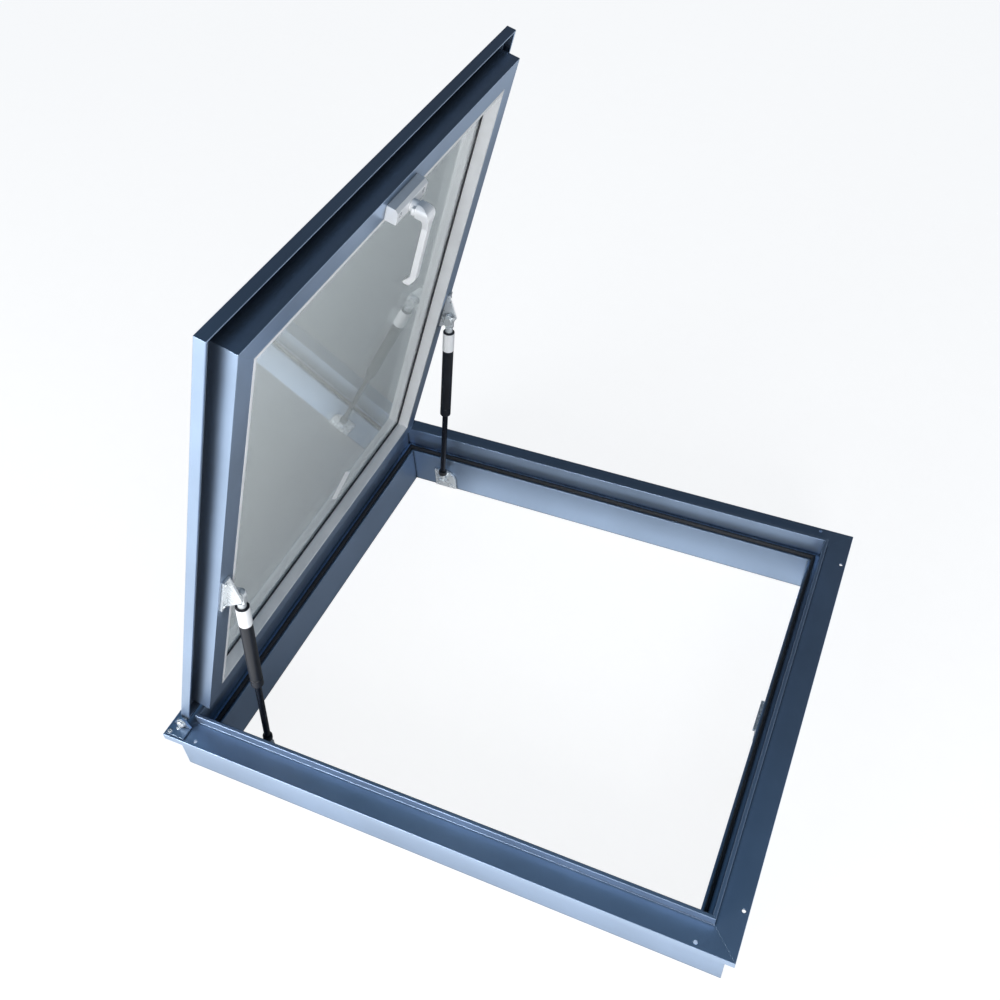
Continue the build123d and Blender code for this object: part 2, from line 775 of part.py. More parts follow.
# Handle base on the underside of the sash's opening side
keep_x = FRAME_X / 2 - inner_wall
handle_x = keep_x - HANDLE_AXIS_TO_WALL
base_x = keep_x - HANDLE_WALL_CLEARANCE - HANDLE_BASE_WIDTH / 2
base_face = sash_underside - HANDLE_BASE_HEIGHT
base_screw_places = []
for screw_y in (-HANDLE_SCREW_SPREAD / 2, HANDLE_SCREW_SPREAD / 2):
    base_screw_places.append((shut_point(base_x, screw_y, base_face), -sash_plane.z_dir))
base_screws = flush_screw_set(base_screw_places, HANDLE_BASE_HEIGHT + WALL + FIT)
save(base_screws, "handle_base_screws")
with BuildPart() as handle_base:
    with BuildSketch(cross_plane(sash_plane, HANDLE_BASE_LENGTH / 2)) as base_section:
        with Locations((base_x, base_face + HANDLE_BASE_HEIGHT / 2)):
            Rectangle(HANDLE_BASE_WIDTH, HANDLE_BASE_HEIGHT)
        corner = base_section.vertices().group_by(Axis.Y)[0].sort_by(Axis.X)[-1]
        chamfer(corner, HANDLE_BASE_CHAMFER)
    extrude(amount=HANDLE_BASE_LENGTH)
    with BuildSketch(sash_plane.offset(base_face)):
        with Locations((handle_x, 0)):
            Circle(SPINDLE_RADIUS + PIN_RUNNING_GAP)
    extrude(amount=SPINDLE_IN_BASE + FIT, mode=Mode.SUBTRACT)
    add(base_screws.part, mode=Mode.SUBTRACT)
save(handle_base, "handle_base")

# Handle spindle, tongue and lever; the tongue points along the side while the lever is open
hub_top = base_face - FIT
tongue_top = hub_top - HUB_HEIGHT
lever_top = tongue_top - TONGUE_THICKNESS
grip_top = lever_top - LEVER_RISE
grip_bottom = grip_top - LEVER_THICKNESS
spindle_end = lever_top - SPINDLE_IN_LEVER
with BuildPart() as spindle:
    with BuildSketch(sash_plane.offset(spindle_end)):
        with Locations((handle_x, 0)):
            Circle(SPINDLE_RADIUS)
    extrude(amount=base_face + SPINDLE_IN_BASE - spindle_end)
save(spindle, "handle_spindle")

tongue_reach = HANDLE_AXIS_TO_WALL - KEEP_SHEET - FIT
with BuildPart() as tongue:
    with BuildSketch(sash_plane.offset(tongue_top)):
        with Locations((handle_x, -tongue_reach / 2)):
            Rectangle(TONGUE_WIDTH, tongue_reach)
        with Locations((handle_x, 0)):
            Circle(tongue_reach, mode=Mode.INTERSECT)
            Circle(HUB_RADIUS)
    extrude(amount=-TONGUE_THICKNESS)
    with BuildSketch(sash_plane.offset(tongue_top)):
        with Locations((handle_x, 0)):
            Circle(HUB_RADIUS)
    extrude(amount=HUB_HEIGHT)
    with BuildSketch(sash_plane.offset(hub_top)):
        with Locations((handle_x, 0)):
            Circle(SPINDLE_RADIUS)
    extrude(amount=-HUB_HEIGHT - TONGUE_THICKNESS, mode=Mode.SUBTRACT)
save(tongue, "handle_tongue")

lever_end = handle_x - LEVER_LENGTH
stem_outer = handle_x + HUB_RADIUS
stem_inner = stem_outer - LEVER_STEM_LENGTH
tip_bottom = grip_bottom + LEVER_CURL
with BuildPart() as lever:
    with BuildSketch(cross_plane(sash_plane, LEVER_ROOT_RADIUS)) as lever_side:
        with BuildLine():
            Polyline(
                (stem_outer, lever_top),
                (stem_outer, grip_bottom),
                (lever_end + LEVER_CURL_OUTER, grip_bottom),
                (lever_end + LEVER_CURL_TURN, grip_bottom + LEVER_CURL_TURN_RISE),
                (lever_end, tip_bottom),
                (lever_end + LEVER_TIP_LENGTH, tip_bottom + LEVER_TIP_RISE),
                (lever_end + LEVER_CURL_INNER, grip_top),
                (stem_inner, grip_top),
                (stem_inner, lever_top),
                close=True,
            )
        make_face()
        fillet(
            lever_side.vertices().group_by(Axis.X)[-1].sort_by(Axis.Y)[0],
            LEVER_SHOULDER,
        )
        fillet(
            lever_side.vertices().filter_by_position(Axis.Y, grip_top - FIT, grip_top + FIT),
            LEVER_BEND,
        )
        curl_corners = lever_side.vertices().filter_by_position(
            Axis.X, lever_end + FIT, lever_end + LEVER_CURL_INNER
        )
        curl_corners = curl_corners.filter_by_position(
            Axis.Y, grip_bottom - FIT, grip_bottom + LEVER_CURL_TURN_RISE + FIT
        )
        fillet(curl_corners, LEVER_CURL_BEND)
    extrude(amount=2 * LEVER_ROOT_RADIUS)
    with BuildSketch(sash_plane.offset(grip_bottom)):
        with Locations((handle_x, 0)):
            Circle(LEVER_ROOT_RADIUS)
        with Locations((handle_x - LEVER_NECK, 0)):
            Circle(LEVER_WIDTH / 2)
        make_hull()
        with Locations(((handle_x + lever_end) / 2, 0)):
            SlotOverall(LEVER_LENGTH, LEVER_WIDTH)
    extrude(amount=lever_top - grip_bottom, mode=Mode.INTERSECT)
    with BuildSketch(sash_plane.offset(lever_top)):
        with Locations((handle_x, 0)):
            Circle(SPINDLE_RADIUS)
    extrude(amount=-SPINDLE_IN_LEVER, mode=Mode.SUBTRACT)
save(lever, "handle_lever")

# Keep on the frame: a plate on the inner wall with a lip that the tongue turns under
keep_lip_x = stem_outer + KEEP_LIP_CLEARANCE
keep_top = tongue_top + FIT + KEEP_LIP
keep_screw_z = keep_top - KEEP_HEIGHT + KEEP_SCREW_EDGE
keep_screws = flush_screw_set(
    (
        (Vector(keep_x - KEEP_SHEET, -KEEP_SCREW_SPREAD / 2, keep_screw_z), Vector(-1, 0, 0)),
        (Vector(keep_x - KEEP_SHEET, KEEP_SCREW_SPREAD / 2, keep_screw_z), Vector(-1, 0, 0)),
    ),
    SCREW_LENGTH,
)
save(keep_screws, "keep_screws")
with BuildPart() as keep:
    with BuildSketch(cross_plane(Plane.XY, KEEP_LENGTH / 2)):
        with BuildLine():
            Polyline(
                (keep_x, keep_top),
                (keep_lip_x, keep_top),
                (keep_lip_x, keep_top - KEEP_LIP),
                (keep_x - KEEP_SHEET, keep_top - KEEP_LIP),
                (keep_x - KEEP_SHEET, keep_top - KEEP_HEIGHT),
                (keep_x, keep_top - KEEP_HEIGHT),
                close=True,
            )
        make_face()
    extrude(amount=KEEP_LENGTH)
    add(keep_screws.part, mode=Mode.SUBTRACT)
save(keep, "handle_keep")

# Roof frame members, their corner cleats and the seal on the ledge
frame_screws = (foot_screws, plate_screws, keep_screws)
for side, plane, length in sides(Plane.XY, FRAME_X, FRAME_Y):
    corner = FIX_HOLE_CORNER_X if length == FRAME_X else FIX_HOLE_CORNER_Y
    holes = ((corner, FIX_HOLE_EDGE), (length - corner, FIX_HOLE_EDGE))
    save(mitred_member(plane, length, frame_section, frame_screws, holes), "frame_" + side)
save(
    cleat_set(
        Plane.XY,
        FRAME_X,
        FRAME_Y,
        -FRAME_DEPTH + WALL,
        -LEDGE_DROP - WALL,
        SIDE_RECESS + WALL,
        inner_wall - WALL,
    ),
    "frame_corner_cleats",
)
seal_height = LEDGE_DROP + sash_underside - SEAL_GAP
seal = ring(
    Plane.XY.offset(-LEDGE_DROP),
    FRAME_X,
    FRAME_Y,
    seal_inset,
    SEAL_WIDTH,
    seal_height,
    SEAL_ROUND,
)
save(seal, "frame_seal")

# Sash members, corner cleats and glazing beads
sash_face = sash_plane.offset(sash_top)
sash_screws = (leaf_screws, bracket_screws, base_screws)
for side, plane, length in sides(sash_face, sash_x, sash_y):
    save(mitred_member(plane, length, sash_section, sash_screws), "sash_" + side)
    save(mitred_member(plane, length, bead_section, ()), "glazing_bead_" + side)
save(
    cleat_set(
        sash_face,
        sash_x,
        sash_y,
        -SASH_DEPTH + WALL,
        -GLASS_LEDGE_DEPTH - WALL,
        SASH_LIP_TO_BOX + WALL,
        sash_box_inner - WALL,
    ),
    "sash_corner_cleats",
)

# Double glazing: two panes, spacer and edge sealant, on tape, in a sealed perimeter
glass_x = sash_x - 2 * glass_edge
glass_y = sash_y - 2 * glass_edge
save(pane(sash_plane.offset(tape_top), glass_x, glass_y, PANE_THICKNESS), "inner_pane")
save(pane(sash_plane.offset(outer_pane_bottom), glass_x, glass_y, PANE_THICKNESS), "outer_pane")
save(
    ring(
        sash_plane.offset(inner_pane_top),
        glass_x,
        glass_y,
        EDGE_SEAL_WIDTH,
        SPACER_WIDTH,
        SPACER_HEIGHT,
    ),
    "spacer_bar",
)
save(
    ring(sash_plane.offset(inner_pane_top), glass_x, glass_y, 0, EDGE_SEAL_WIDTH, SPACER_HEIGHT),
    "glass_edge_sealant",
)
save(
    ring(
        sash_plane.offset(tape_top - TAPE_THICKNESS),
        glass_x,
        glass_y,
        0,
        reveal + TAPE_SHOWING - glass_edge,
        TAPE_THICKNESS,
    ),
    "glazing_tape",
)
outer_joint_bottom = sash_top - PERIMETER_SEAL_DEPTH
save(
    ring(
        sash_plane.offset(outer_joint_bottom),
        sash_x,
        sash_y,
        SASH_PLATE_WIDTH,
        GLASS_EDGE_GAP,
        PERIMETER_SEAL_DEPTH - PERIMETER_SEAL_RECESS,
    ),
    "perimeter_sealant",
)
with BuildPart() as blocks:
    for side, plane, length in sides(sash_plane.offset(tape_top), sash_x, sash_y):
        floor = Plane(origin=plane.origin, x_dir=plane.z_dir, z_dir=plane.y_dir)
        with BuildSketch(floor):
            with Locations(
                (SETTING_BLOCK_INSET, SASH_PLATE_WIDTH + GLASS_EDGE_GAP / 2),
                (length - SETTING_BLOCK_INSET, SASH_PLATE_WIDTH + GLASS_EDGE_GAP / 2),
            ):
                Rectangle(SETTING_BLOCK_LENGTH, GLASS_EDGE_GAP)
        extrude(amount=outer_joint_bottom - tape_top)
save(blocks, "setting_blocks")
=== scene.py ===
"""Dresses the roof skylight: finishes, screws, plain labels, studio and camera."""

import math

import bmesh
import bpy
import numpy as np
from mathutils import Matrix, Vector


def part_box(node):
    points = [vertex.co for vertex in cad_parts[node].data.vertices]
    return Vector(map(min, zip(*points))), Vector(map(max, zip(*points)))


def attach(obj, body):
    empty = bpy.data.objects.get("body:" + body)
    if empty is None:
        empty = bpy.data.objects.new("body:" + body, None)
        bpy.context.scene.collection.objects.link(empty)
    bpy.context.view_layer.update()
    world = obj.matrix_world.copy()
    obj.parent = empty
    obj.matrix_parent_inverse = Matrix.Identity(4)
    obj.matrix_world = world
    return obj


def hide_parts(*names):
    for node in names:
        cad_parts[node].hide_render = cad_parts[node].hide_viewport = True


bl_info = {
    "name": "Roof Skylight Dressing",
    "version": (1, 0, 0),
    "blender": (4, 5, 0),
    "location": "View3D > Sidebar > Skylight",
    "description": "Finishes and small pieces for the packed roof skylight",
    "category": "Object",
}

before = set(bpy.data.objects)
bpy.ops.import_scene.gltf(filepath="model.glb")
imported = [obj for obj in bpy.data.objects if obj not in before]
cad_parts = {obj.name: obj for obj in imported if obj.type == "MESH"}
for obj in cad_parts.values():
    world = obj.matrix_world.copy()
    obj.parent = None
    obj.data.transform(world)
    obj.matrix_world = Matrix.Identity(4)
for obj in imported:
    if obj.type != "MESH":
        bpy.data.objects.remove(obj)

ENDS = ("near", "far")
SIDES = ("near", "far", "hinge_side", "opening_side")
SCREWS = {
    "hinge_bracket_screws": "frame",
    "strut_plate_screws": "frame",
    "keep_screws": "frame",
    "hinge_leaf_screws": "sash",
    "strut_bracket_screws": "sash",
    "handle_base_screws": "sash",
}

# A pan head from its seat up, in shares of its radius and of its rise below the top
PAN_OUTLINE = ((0.96, 1.0), (1.0, 0.86), (0.97, 0.55), (0.86, 0.24), (0.62, 0.06), (0.3, 0.0))
# A head that rises less than this, in metres, is a countersunk one
PROUD_HEAD = 0.0004

# The cross recess, in shares of the head's radius, and how far its cutter stands out, in metres
RECESS_SPAN = 1.15
RECESS_WIDTH = 0.26
RECESS_TAPER = 0.55
RECESS_ABOVE = 0.0002

# Air under the pane's film and the tubes' labels, in metres
PANE_AIR = 0.00002
TUBE_AIR = 0.00001
# The side of a tube where its label's ends meet
LABEL_ENDS = Vector((-0.5, 0.85, 0))

# The floor: half its width in metres, how white it looks, and how much light it gives back
FLOOR_HALF = 9.0
FLOOR_WHITE = 0.88
FLOOR_BOUNCE = 0.65

# Painted reflections: where the floor glows for reflected rays only, so that the paint shows it, in
# metres,
# and how brightly: in front along Y, towards the opening side along X for rays longer than
# SHORT_WAY, and at the back for shorter ones
FRONT_FULL, FRONT_FADED = -0.335, -0.262
FRONT_SHINE, PLAIN_SHINE = 0.92, 0.08
ASIDE_FADED, ASIDE_FULL = 0.02, 0.12
ASIDE_SHINE = 0.9
BACK_FADED, BACK_FULL = 0.18, 0.24
BACK_SHINE = 0.75
LEFT_FADED, LEFT_FULL = -0.26, -0.2
SHORT_WAY = 0.14


# Materials

def tone(colour, factor):
    return tuple(min(1.0, c * factor) for c in colour[:3])


class Nodes:
    """A node tree being filled: nodes are added by kind, and sockets are joined or set."""

    def __init__(self, tree):
        self.tree = tree

    def add(self, kind, inputs=None, **options):
        node = self.tree.nodes.new(kind)
        for option, value in options.items():
            setattr(node, option, value)
        for socket, value in (inputs or {}).items():
            if isinstance(value, bpy.types.NodeSocket):
                self.tree.links.new(value, node.inputs[socket])
            else:
                node.inputs[socket].default_value = value
        return node

    def spread(self, value, low, high, start=0.0, end=1.0):
        """A value from start to end, stretched over low to high."""
        inputs = {"Value": value, "From Min": start, "From Max": end, "To Min": low, "To Max": high}
        return self.add("ShaderNodeMapRange", inputs).outputs[0]

    def maths(self, operation, first, second):
        return self.add("ShaderNodeMath", {0: first, 1: second}, operation=operation).outputs[0]

    def ramp(self, value, *stops):
        """Colours along a value, each stop a place and a colour."""
        node = self.add("ShaderNodeValToRGB", {0: value})
        elements = node.color_ramp.elements
        while len(elements) < len(stops):
            elements.new(0.5)
        for element, (place, colour) in zip(elements, stops):
            element.position = place
            element.color = (*colour[:3], 1.0)
        return node.outputs[0]

    def mix(self, factor, first, second):
        """A colour that turns from the first into the second as the factor grows."""
        inputs = {0: factor}
        for socket, colour in ((6, first), (7, second)):
            joined = isinstance(colour, bpy.types.NodeSocket)
            inputs[socket] = colour if joined else (*colour[:3], 1.0)
        return self.add("ShaderNodeMix", inputs, data_type="RGBA").outputs[2]

    def seen(self, path):
        """1 where the camera looks straight on or through glass, and 0 in a reflection."""
        direct = self.maths("LESS_THAN", path["Glossy Depth"], 0.5)
        through = self.maths("MULTIPLY", path["Is Transmission Ray"], direct)
        return self.maths("MAXIMUM", path["Is Camera Ray"], through)


class Surface(Nodes):
    """A material being made on its Principled shader."""

    def __init__(self, name, **constants):
        self.material = bpy.data.materials.new(name)
        self.material.use_nodes = True
        super().__init__(self.material.node_tree)
        self.shader = self.tree.nodes["Principled BSDF"]
        for socket, value in constants.items():
            self.shader.inputs[socket.replace("_", " ")].default_value = value
        self.place = self.add("ShaderNodeTexCoord").outputs["Object"]
        self.normal = None

    def join(self, output, socket):
        self.tree.links.new(output, self.shader.inputs[socket])

    def stretched(self, scale):
        """The object's own coordinates, closer together along the axes with a larger scale."""
        return self.add("ShaderNodeMapping", {"Vector": self.place, "Scale": scale}).outputs[0]

    def noise(self, scale, detail=3.0, place=None):
        inputs = {"Vector": place or self.place, "Scale": scale, "Detail": detail,
                  "Roughness": 0.55}
        return self.add("ShaderNodeTexNoise", inputs).outputs[0]

    def cells(self, scale, output="Distance"):
        inputs = {"Vector": self.place, "Scale": scale}
        return self.add("ShaderNodeTexVoronoi", inputs).outputs[output]

    def edges(self, radius, samples=6):
        """Rounds the edges for light, and gives how near an edge a point is."""
        bevel = self.add("ShaderNodeBevel", {"Radius": radius}, samples=samples)
        self.normal = bevel.outputs[0]
        flat = self.add("ShaderNodeNewGeometry").outputs["Normal"]
        inputs = {0: self.normal, 1: flat}
        turned = self.add("ShaderNodeVectorMath", inputs, operation="DOT_PRODUCT").outputs["Value"]
        return self.spread(turned, 1.0, 0.0, 0.86, 0.995)

    def painted_shade_mask(self, reach):
        """How freely light comes to a point: low in corners and gaps; the mask of the painted shade
        in the paint's colour.
        """
        hidden = self.add("ShaderNodeAmbientOcclusion", {"Distance": reach}, samples=6)
        return self.spread(hidden.outputs["AO"], 0.0, 1.0, 0.5, 0.86)

    def relief(self, height, depth, strength):
        """Bumps of a depth in metres."""
        inputs = {"Height": height, "Distance": depth, "Strength": strength}
        if self.normal:
            inputs["Normal"] = self.normal
        self.normal = self.add("ShaderNodeBump", inputs).outputs[0]

    def done(self):
        if self.normal:
            self.join(self.normal, "Normal")
        return self.material


def powder_coat(name, colour, metallic, roughness, reach):
    """Satin powder coat: orange peel, fine flake, thin at the edges, and painted shade in the
    recesses.
    """
    s = Surface(name, Metallic=metallic, Coat_Weight=0.05, Coat_Roughness=0.16)
    near_edge = s.edges(0.0005, samples=10)
    cloud = s.noise(7.0, 4.0)
    flake = s.cells(5200.0, "Color")
    speck = s.noise(1900.0, 2.0)
    orange_peel = s.noise(420.0, 2.0)
    shade = s.maths("ADD", s.spread(cloud, 0.0, 0.75), s.spread(speck, 0.0, 0.25))
    body = s.ramp(shade, (0.25, tone(colour, 0.88)), (0.75, tone(colour, 1.1)))
    thinned = s.mix(s.spread(near_edge, 0.0, 0.35), body, tone(colour, 1.7))
    # Painted shade: the colour turns almost black in corners, gaps and recesses, where ambient
    # occlusion finds shade.
    s.join(s.mix(s.painted_shade_mask(reach), tone(colour, 0.16), thinned), "Base Color")
    s.join(s.spread(cloud, roughness - 0.05, roughness + 0.06), "Roughness")
    s.relief(orange_peel, depth=0.00005, strength=0.35)
    s.relief(flake, depth=0.00002, strength=0.1)
    return s.done()


def plated(name, colour, roughness, spangle=260.0):
    """Zinc plate or bare alloy: cloudy spangle, faint drawing lines and brighter edges."""
    s = Surface(name, Metallic=0.5)
    near_edge = s.edges(0.0005)
    patch = s.cells(spangle, "Color")
    cloud = s.noise(60.0, 4.0)
    mixed = s.maths("ADD", s.spread(cloud, 0.0, 0.7), s.spread(patch, 0.0, 0.3))
    body = s.ramp(mixed, (0.2, tone(colour, 0.86)), (0.8, tone(colour, 1.05)))
    s.join(s.mix(s.spread(near_edge, 0.0, 0.6), body, tone(colour, 1.25)), "Base Color")
    s.join(s.spread(mixed, roughness - 0.06, roughness + 0.08), "Roughness")
    drawn = s.noise(900.0, 2.0, s.stretched((1.0, 1.0, 14.0)))
    s.relief(drawn, depth=0.00003, strength=0.3)
    return s.done()


def satin_alloy(name, colour, roughness, along=(1.0, 1.0, 1.0)):
    """Anodised or cast alloy, blasted to a fine even grain."""
    s = Surface(name, Metallic=0.2)
    near_edge = s.edges(0.0006)
    cloud = s.noise(24.0, 3.0)
    body = s.ramp(cloud, (0.3, tone(colour, 0.93)), (0.7, tone(colour, 1.05)))
    s.join(body, "Base Color")
    s.join(s.maths("SUBTRACT", s.spread(cloud, roughness, roughness + 0.08),
                   s.spread(near_edge, 0.0, 0.1)), "Roughness")
    s.relief(s.noise(1500.0, 2.0, s.stretched(along)), depth=0.00003, strength=0.25)
    return s.done()


def black_paint(name, colour, roughness):
    """Stoved black paint on a drawn tube: fine texture and rubbed edges."""
    s = Surface(name, Coat_Weight=0.08, Coat_Roughness=0.2, Specular_IOR_Level=0.35)
    near_edge = s.edges(0.0005)
    cloud = s.noise(35.0, 4.0)
    rub = s.maths("MULTIPLY", near_edge, s.spread(s.noise(300.0), 0.0, 1.0, 0.45, 0.65))
    body = s.ramp(s.maths("ADD", s.spread(cloud, 0.0, 0.5), s.spread(rub, 0.0, 0.5)),
                  (0.2, tone(colour, 0.8)), (0.5, tone(colour, 1.3)), (1.0, tone(colour, 5.0)))
    s.join(body, "Base Color")
    s.join(s.spread(cloud, roughness - 0.06, roughness + 0.1), "Roughness")
    s.relief(s.noise(700.0, 2.0), depth=0.00004, strength=0.25)
    return s.done()


def black_rod(colour):
    """Nitrided rod: polished lengthwise, so its highlight is long and slightly uneven."""
    s = Surface("black_rod", Metallic=0.8, Coat_Weight=0.12, Coat_Roughness=0.08)
    s.edges(0.0004)
    streak = s.noise(240.0, 3.0, s.stretched((1.0, 1.0, 0.06)))
    s.join(s.ramp(streak, (0.3, tone(colour, 0.8)), (0.7, tone(colour, 1.4))), "Base Color")
    s.join(s.spread(streak, 0.18, 0.32), "Roughness")
    s.relief(streak, depth=0.00002, strength=0.2)
    return s.done()


def moulded(name, colour, roughness, grain=900.0):
    """Moulded plastic or rubber: fine grain over a slightly uneven skin."""
    s = Surface(name)
    near_edge = s.edges(0.0005)
    cloud = s.noise(18.0, 3.0)
    shade = s.maths("ADD", s.spread(cloud, 0.0, 0.6), s.spread(near_edge, 0.0, 0.4))
    s.join(s.ramp(shade, (0.2, tone(colour, 0.8)), (1.0, tone(colour, 2.0))), "Base Color")
    s.join(s.spread(cloud, roughness - 0.06, roughness + 0.08), "Roughness")
    s.relief(s.noise(grain, 2.0), depth=0.00006, strength=0.4)
    return s.done()


def sealant(colour):
    """Tooled sealant: a skinned surface with long shallow ripples."""
    s = Surface("sealant", Coat_Weight=0.2, Coat_Roughness=0.35)
    ripple = s.noise(45.0, 3.0)
    s.join(s.ramp(ripple, (0.3, tone(colour, 0.8)), (0.7, tone(colour, 1.5))), "Base Color")
    s.join(s.spread(ripple, 0.38, 0.55), "Roughness")
    s.relief(ripple, depth=0.0006, strength=0.5)
    s.relief(s.noise(800.0, 2.0), depth=0.00004, strength=0.3)
    return s.done()


def spacer(colour):
    """Spacer bar: rolled alloy with vent pinholes, painted near black as painted shade inside them.
    """
    s = Surface("spacer_bar", Metallic=0.9)
    s.edges(0.0004)
    holes = s.spread(s.cells(520.0), 0.0, 1.0, 0.10, 0.18)
    # Painted shade: the pinholes are painted near black, for the shade inside each hole.
    s.join(s.ramp(holes, (0.0, tone(colour, 0.3)), (1.0, colour)), "Base Color")
    s.join(s.spread(holes, 0.7, 0.42), "Roughness")
    s.relief(holes, depth=0.0002, strength=0.5)
    return s.done()


def glass(colour):
    """Float glass: almost clear, with a breath of dust that softens the reflection in patches."""
    s = Surface("clear_glass", Transmission_Weight=1.0, IOR=1.5, Specular_IOR_Level=0.5)
    dust = s.noise(9.0, 5.0)
    s.join(s.ramp(dust, (0.3, colour), (0.8, tone(colour, 0.985))), "Base Color")
    s.join(s.spread(dust, 0.0, 0.02, 0.35, 0.8), "Roughness")
    s.relief(s.noise(3.0, 2.0), depth=0.0002, strength=0.03)
    return s.done()


def vinyl(name, colour):
    """Plain printed film: faint press texture, and edges that have picked up dirt."""
    s = Surface(name, Coat_Weight=0.4, Coat_Roughness=0.12)
    near_edge = s.edges(0.0003)
    smear = s.noise(90.0, 4.0)
    shade = s.maths("ADD", s.spread(smear, 0.0, 0.7), s.spread(near_edge, 0.0, 0.3))
    s.join(s.ramp(shade, (0.4, colour), (1.0, tone(colour, 0.85))), "Base Color")
    s.join(s.spread(smear, 0.32, 0.5), "Roughness")
    s.relief(s.noise(500.0, 2.0), depth=0.00003, strength=0.3)
    return s.done()


def cover(node, material):
    """Gives a CAD node its material."""
    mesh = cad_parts[node].data
    mesh.materials.clear()
    mesh.materials.append(material)


# Shapes read from the frame

def corners(node):
    """The CAD node's points, in metres."""
    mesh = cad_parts[node].data
    points = np.empty(len(mesh.vertices) * 3)
    mesh.vertices.foreach_get("co", points)
    return points.reshape(-1, 3)


def solids(node):
    """The points of each separate solid of a CAD node."""
    mesh = bmesh.new()
    mesh.from_mesh(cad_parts[node].data)
    bmesh.ops.remove_doubles(mesh, verts=mesh.verts, dist=1e-6)
    left = set(mesh.verts)
    found = []
    while left:
        reach = [left.pop()]
        island = []
        while reach:
            vert = reach.pop()
            island.append(tuple(vert.co))
            for edge in vert.link_edges:
                other = edge.other_vert(vert)
                if other in left:
                    left.remove(other)
                    reach.append(other)
        found.append(np.array(island))
    mesh.free()
    return sorted(found, key=lambda island: tuple(island.mean(axis=0)))


def axis_of(points):
    """The centre of a turned solid, and the one way in which its spread differs."""
    centre = points.mean(axis=0)
    values, ways = np.linalg.eigh(np.cov((points - centre).T))
    odd = 0 if values[1] - values[0] > values[2] - values[1] else 2
    return Vector(centre), Vector(ways[:, odd]).normalized()


def radii(points, centre, way):
    """How far along the axis each point is, and how far from it."""
    from_centre = points - np.array(centre)
    along = from_centre @ np.array(way)
    across = np.linalg.norm(from_centre - np.outer(along, np.array(way)), axis=1)
    return along, across


def lay(origin, way, facing=None):
    """The matrix that stands local +Z along a direction at a point, and may turn local +X."""
    if facing is None:
        return Matrix.Translation(origin) @ way.to_track_quat("Z", "Y").to_matrix().to_4x4()
    side = (facing - way * facing.dot(way)).normalized()
    turn = Matrix((side, way.cross(side), way)).transposed().to_4x4()
    return Matrix.Translation(origin) @ turn


def room_face(node):
    """The middle of a pane's lower edge on its room face, the way up the sash and the way in."""
    points = corners(node)
    centre = points.mean(axis=0)
    ways = np.linalg.eigh(np.cov((points - centre).T))[1]
    inward = Vector(ways[:, 0]).normalized()
    if inward.z > 0:
        inward = -inward
    up = inward.cross(Vector((0, 1, 0))).normalized()
    from_centre = points - centre
    edge = Vector(centre) + up * (from_centre @ np.array(up)).min()
    return edge + inward * (from_centre @ np.array(inward)).max(), up, inward


# Shapes made here

def as_object(name, mesh):
    """A new object from a bmesh, which is used up."""
    data = bpy.data.meshes.new(name)
    mesh.to_mesh(data)
    mesh.free()
    made = bpy.data.objects.new(name, data)
    bpy.context.scene.collection.objects.link(made)
    return made


def piece(name, mesh, material, body, place=None, smooth=35.0):
    """A new object with its material, riding on a CAD body."""
    made = as_object(name, mesh)
    if place is not None:
        made.data.transform(place)
    made.data.materials.append(material)
    made.data.shade_smooth()
    made.data.set_sharp_from_angle(angle=math.radians(smooth))
    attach(made, body)
    return made


def lathe(profile, segments):
    """A closed solid turned about Z from points (radius, height), first and last on the axis."""
    mesh = bmesh.new()
    rings = []
    for radius, height in profile:
        if radius == 0:
            rings.append([mesh.verts.new((0, 0, height))])
            continue
        rings.append([mesh.verts.new((radius * math.cos(math.tau * k / segments),
                                      radius * math.sin(math.tau * k / segments), height))
                      for k in range(segments)])
    for low, high in zip(rings, rings[1:]):
        for k in range(segments):
            a, b = low[k % len(low)], low[(k + 1) % len(low)]
            c, d = high[(k + 1) % len(high)], high[k % len(high)]
            ring = [v for i, v in enumerate((a, b, c, d)) if v not in (a, b, c, d)[:i]]
            mesh.faces.new(ring)
    bmesh.ops.recalc_face_normals(mesh, faces=mesh.faces)
    return mesh


def wedge(length, width, top, bottom, narrowing):
    """One tapered wing of a cross recess, from above the head down to its floor."""
    mesh = bmesh.new()
    rings = []
    for height, factor in ((top, 1.0), (bottom, narrowing)):
        x = length * factor / 2
        y = width * factor / 2
        ring = ((-x, -y), (x, -y), (x, y), (-x, y))
        rings.append([mesh.verts.new((i, j, height)) for i, j in ring])
    mesh.faces.new(rings[0])
    mesh.faces.new(rings[1])
    for k in range(4):
        mesh.faces.new((rings[0][k], rings[0][k - 1], rings[1][k - 1], rings[1][k]))
    bmesh.ops.recalc_face_normals(mesh, faces=mesh.faces)
    return mesh


def screw_mesh(profile, head, depth):
    """A turned screw, its top on z 0, with a cross recess cut into its head."""
    screw = as_object("screw_blank", lathe(profile, 40))
    cutters = []
    for turn in (0.0, math.pi / 2):
        wing = wedge(head * RECESS_SPAN, head * RECESS_WIDTH, RECESS_ABOVE, -depth, RECESS_TAPER)
        cutter = as_object("recess", wing)
        cutter.data.transform(Matrix.Rotation(turn, 4, "Z"))
        cut = screw.modifiers.new("cut", "BOOLEAN")
        cut.operation = "DIFFERENCE"
        cut.solver = "EXACT"
        cut.object = cutter
        cutters.append(cutter)
    graph = bpy.context.evaluated_depsgraph_get()
    shaped = bpy.data.meshes.new_from_object(screw.evaluated_get(graph))
    for thing in (screw, *cutters):
        bpy.data.objects.remove(thing)
    return shaped


